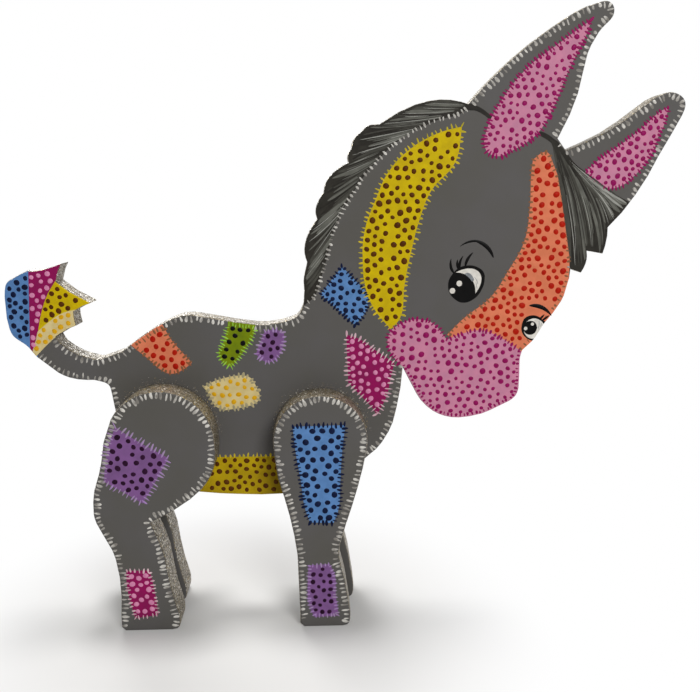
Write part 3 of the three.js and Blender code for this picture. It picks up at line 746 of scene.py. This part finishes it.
# The gap between stitches and their inner part, on the body and on a leg; their outer part; half their width.
BODY_STITCH, LEG_STITCH = (2.6, 2.4), (2.4, 2.9)
EDGE_OUTWARD, EDGE_HALF = 0.7, 0.65
for node in BOARDS:
    for side in SIDES:
        if node != "body_board" and not node.startswith(side):
            continue
        covers = list(taken[node, side])
        if node == "body_board":
            covers += [rims[f"{side}_{leg}", side] for leg in ("hind_leg", "front_leg")]

        def bare(places):
            return (places[:, 1] > SOLE_CLEAR) & ~np.any([inside(places, ring) for ring in covers], axis=0)

        gap, inward = BODY_STITCH if node == "body_board" else LEG_STITCH
        marks = stitches(rims[node, side], gap, EDGE_OUTWARD, inward, EDGE_HALF, bare,
                         f"{side} {node} outline", edge=True)
        settle(f"{side}_{node}_stitches", [laid(node, side, marks, WHITE)])


# Glitter that strayed from the legs onto the body.
# Loose flakes stick in the grey paint round the top of each leg, thickest next to it.
SPECK = bead(6, 4)
STRAY_LOWEST = 98.0
STRAY_REACH = 4.0
STRAY_SPREAD = 0.9
STRAY_TRIES = 12000
STRAY_SIZES = (0.12, 0.15, 0.2)
for side in SIDES:
    chance = random.Random(f"{side} stray glitter")
    marks = []
    for leg in ("hind_leg", "front_leg"):
        ring = rims[f"{side}_{leg}", side]
        low, high = ring.min(0) - STRAY_REACH, ring.max(0) + STRAY_REACH
        low[1] = STRAY_LOWEST
        spots = np.array([[chance.uniform(low[i], high[i]) for i in (0, 1)] for _ in range(STRAY_TRIES)])
        reach = np.array([chance.expovariate(1 / STRAY_SPREAD) for _ in spots])
        gap = clearance(spots, ring) - EDGE_ROUND
        kept = ~inside(spots, ring) & (gap > 0) & (gap < reach) & inside(spots, rims["body_board", side])
        for x, z in spots[kept]:
            radius = chance.choice(STRAY_SIZES)
            marks.append((x - radius, z, x + radius, z, radius, 0, 0, FAR, FAR))
    settle(f"{side}_stray_glitter", [laid("body_board", side, marks, GLITTER, form=SPECK)])


# The eyes, the brows and the lashes.
# Painted in layers with a fine brush: black, then the white of the eye, then grey streaks, what lies on the white,
# and the far eye's highlights. Each layer stands this far proud of the board.
BLACK_LAYER, WHITE_LAYER, STREAK_LAYER, UPPER_LAYER, LIGHT_LAYER = 0.09, 0.12, 0.13, 0.14, 0.16
EYE_WHITE = acrylic("eye_white_acrylic", "dedad2", "cbc7bf", fleck=3.0)
EYE_SHADE = acrylic("eye_shade_acrylic", "8d9093", "707478", fleck=1.5)


def disc(x, z, radius):
    """The outline of a round spot."""
    return [[(x + radius * math.cos(turn), z + radius * math.sin(turn)) for turn in np.arange(8) * math.pi / 4]]


def eye(name, layers, strokes, streaks):
    """An eye on both sides: its layers from the board up, then its black strokes and its pale grey ones."""
    for side in SIDES:
        parts = [ground("body_board", side, drawn(runs), paint, coat) for runs, paint, coat in layers]
        for marks, paint, lift, rise in ((strokes, BLACK, BLACK_LAYER, RISE), (streaks, EYE_SHADE, STREAK_LAYER, 0)):
            marks = [(*mark, FAR, FAR) for mark in marks]
            parts.append(laid("body_board", side, marks, paint, lift, HAIR, rise))
        settle(f"{side}_{name}", parts)


eye("near_eye",
    (([[(54, 178.9), (56.4, 181.1), (61.7, 182.3), (65.6, 181.4), (68.7, 178.9), (69.3, 175.5), (68.1, 170.6),
        (64.3, 165.8), (58.8, 164), (54.9, 165.7), (52.1, 169.1), (51.4, 172.8), (52, 175.8)]],
      BLACK, BLACK_LAYER),
     ([[(54.9, 178.9), (58, 180.2), (61.6, 180.8), (65, 180), (67.1, 178), (67.7, 175.4), (67, 172.1)],
       [(65, 168.5), (64.8, 170.8), (64.4, 172.7), (63.5, 174.5), (61.8, 176.2), (59.9, 177.7), (57.1, 178.7)]],
      EYE_WHITE, WHITE_LAYER),
     ([[(59.2, 178.2), (61, 178.7), (62.8, 177.6)], [(64.1, 175.6), (63.5, 174.5), (61.8, 176.1)]],
      EYE_SHADE, UPPER_LAYER),
     (disc(56.9, 173.5, 1.4), EYE_WHITE, UPPER_LAYER),
     (disc(53.6, 169.9, 1.4), EYE_WHITE, UPPER_LAYER)),
    ((56.6, 191.4, 68.6, 193.2, 0.55, 1.7, 0.3), (64, 194.2, 73.3, 185.9, 0.95, 1.7, -0.1),
     (54.2, 178.4, 52.6, 185.6, 0.65, 0.95, -0.35), (56.5, 180.3, 55.7, 185.2, 0.62, 0.45, -0.35),
     (56.8, 180.6, 58.4, 186.9, 0.6, 0.65, -0.35), (59.5, 181.7, 63.3, 188.6, 0.68, 0.75, -0.35)),
    ((63.8, 176.9, 66.1, 172.6, 0.15, 0.5, 0), (64.9, 174.2, 65.7, 170.6, 0.14, 0.2, 0)))
eye("far_eye",
    ((FAR_EYE, BLACK, BLACK_LAYER),
     ([[(90.6, 153.7), (92.4, 155.3), (95.2, 155.9), (97.7, 155), (99.3, 153.6)], [(100.7, 152.2)],
       [(98.1, 147.4), (95.2, 145.8), (92.7, 146.1), (90.4, 148.3), (89.8, 150.6)]],
      EYE_WHITE, WHITE_LAYER),
     (disc(93, 151.2, 3.5), BLACK, UPPER_LAYER),
     (disc(90.7, 150.9, 0.9), EYE_WHITE, LIGHT_LAYER),
     (disc(94, 153.1, 0.8), EYE_WHITE, LIGHT_LAYER)),
    ((91.9, 162.4, 103.4, 157.2, 1.05, 1.75, -0.3), (97.4, 155.2, 99.8, 157.9, 0.6, 0, -0.3),
     (98.9, 154.9, 102.2, 157.4, 0.6, 0, -0.3)),
    ((97.2, 155.1, 97.1, 150.4, 0.2, 0.2, 0), (98.5, 153.8, 98.2, 151.6, 0.14, 0, 0)))


# The floor, the light and the camera: they are not part of the object.
# A sheet of pale paper on a table, in a white room, with a large soft lamp in front, a weaker one behind, and a
# smaller one overhead.
FLOOR_WIDTH = 3.0
# The paper is seen as it is round the feet, and fades to plain white further from their middle.
FEET = [-0.057, -0.02, 0]
NEAR_FLOOR, FAR_FLOOR = 0.055, 0.165
FLOOR_GLOW = 0.1
AMBIENT = 0.2
AIM = (0, 0, 0.14)
# The camera, fitted to the view: lens and sensor in mm, its place in mm and its turn in degrees.
LENS, SENSOR, NEAREST_SEEN = 39.09, 36, 0.01
CAMERA_PLACE, CAMERA_TURN = (-11.812, -374, 217.346), (78.545, 0, -2.363)
# Each lamp: where it stands and how wide it is in metres, and its power in watts.
LAMPS = {"key": ((0.45, -1.1, 0.75), 0.5, 11.0), "top": ((-0.05, 0.11, 1.15), 0.25, 9.2),
         "back": ((-0.45, 1.1, 0.7), 0.5, 7.0)}


def seen_plainly(tree):
    """1 where the camera sees a surface directly, in a reflection or through glass, else 0."""
    ray = add(tree, "LightPath")
    seen = add(tree, "Math", {0: (ray, "Is Camera Ray"), 1: (ray, "Is Glossy Ray")}, operation="MAXIMUM")
    return add(tree, "Math", {0: (seen, "Value"), 1: (ray, "Is Transmission Ray")}, operation="MAXIMUM")


bpy.ops.object.select_all(action="DESELECT")
bpy.ops.mesh.primitive_plane_add(size=FLOOR_WIDTH)
floor = bpy.context.object
floor.name = "floor"
paper = blank("pale_paper")
tree = paper.node_tree
place = add(tree, "TexCoord")
away = add(tree, "VectorMath", {0: (place, "Object"), 1: FEET}, operation="DISTANCE")
fade = add(tree, "MapRange", {"Value": (away, "Value"), "From Min": NEAR_FLOOR, "From Max": FAR_FLOOR,
                              "To Min": FLOOR_GLOW, "To Max": 1.0}, interpolation_type="SMOOTHSTEP")
share = add(tree, "Math", {0: (seen_plainly(tree), "Value"), 1: (fade, "Result")}, operation="MULTIPLY")
sheet = add(tree, "BsdfDiffuse", {"Color": linear("cfcecc")})
glow = add(tree, "Emission", {"Color": [1, 1, 1, 1], "Strength": 1.0})
mix = add(tree, "MixShader", {0: (share, "Value"), 1: (sheet, "BSDF"), 2: (glow, "Emission")})
add(tree, "OutputMaterial", {"Surface": (mix, "Shader")})
floor.data.materials.append(paper)

room = bpy.data.worlds.new("white_room")
bpy.context.scene.world = room
room.use_nodes = True
tree = room.node_tree
tree.nodes.clear()
strength = add(tree, "MapRange", {"Value": (seen_plainly(tree), "Value"), "To Min": AMBIENT, "To Max": 1.0})
walls = add(tree, "Background", {"Color": [1, 1, 1, 1], "Strength": (strength, "Result")})
add(tree, "OutputWorld", {"Surface": (walls, "Background")})

for name, (place, width, power) in LAMPS.items():
    lamp = bpy.data.objects.new(name, bpy.data.lights.new(name, "AREA"))
    bpy.context.collection.objects.link(lamp)
    lamp.data.size = width
    lamp.visible_camera = False
    lamp.data.energy = power
    lamp.location = place
    lamp.rotation_euler = (lamp.location - Vector(AIM)).to_track_quat("Z", "Y").to_euler()

camera = bpy.data.objects.new("camera", bpy.data.cameras.new("camera"))
bpy.context.collection.objects.link(camera)
camera.data.lens = LENS
camera.data.sensor_width = SENSOR
camera.data.clip_start = NEAREST_SEEN
camera.location = [c * MM for c in CAMERA_PLACE]
camera.rotation_euler = [math.radians(turn) for turn in CAMERA_TURN]
bpy.context.scene.camera = camera
bpy.context.scene.view_settings.view_transform = "Standard"
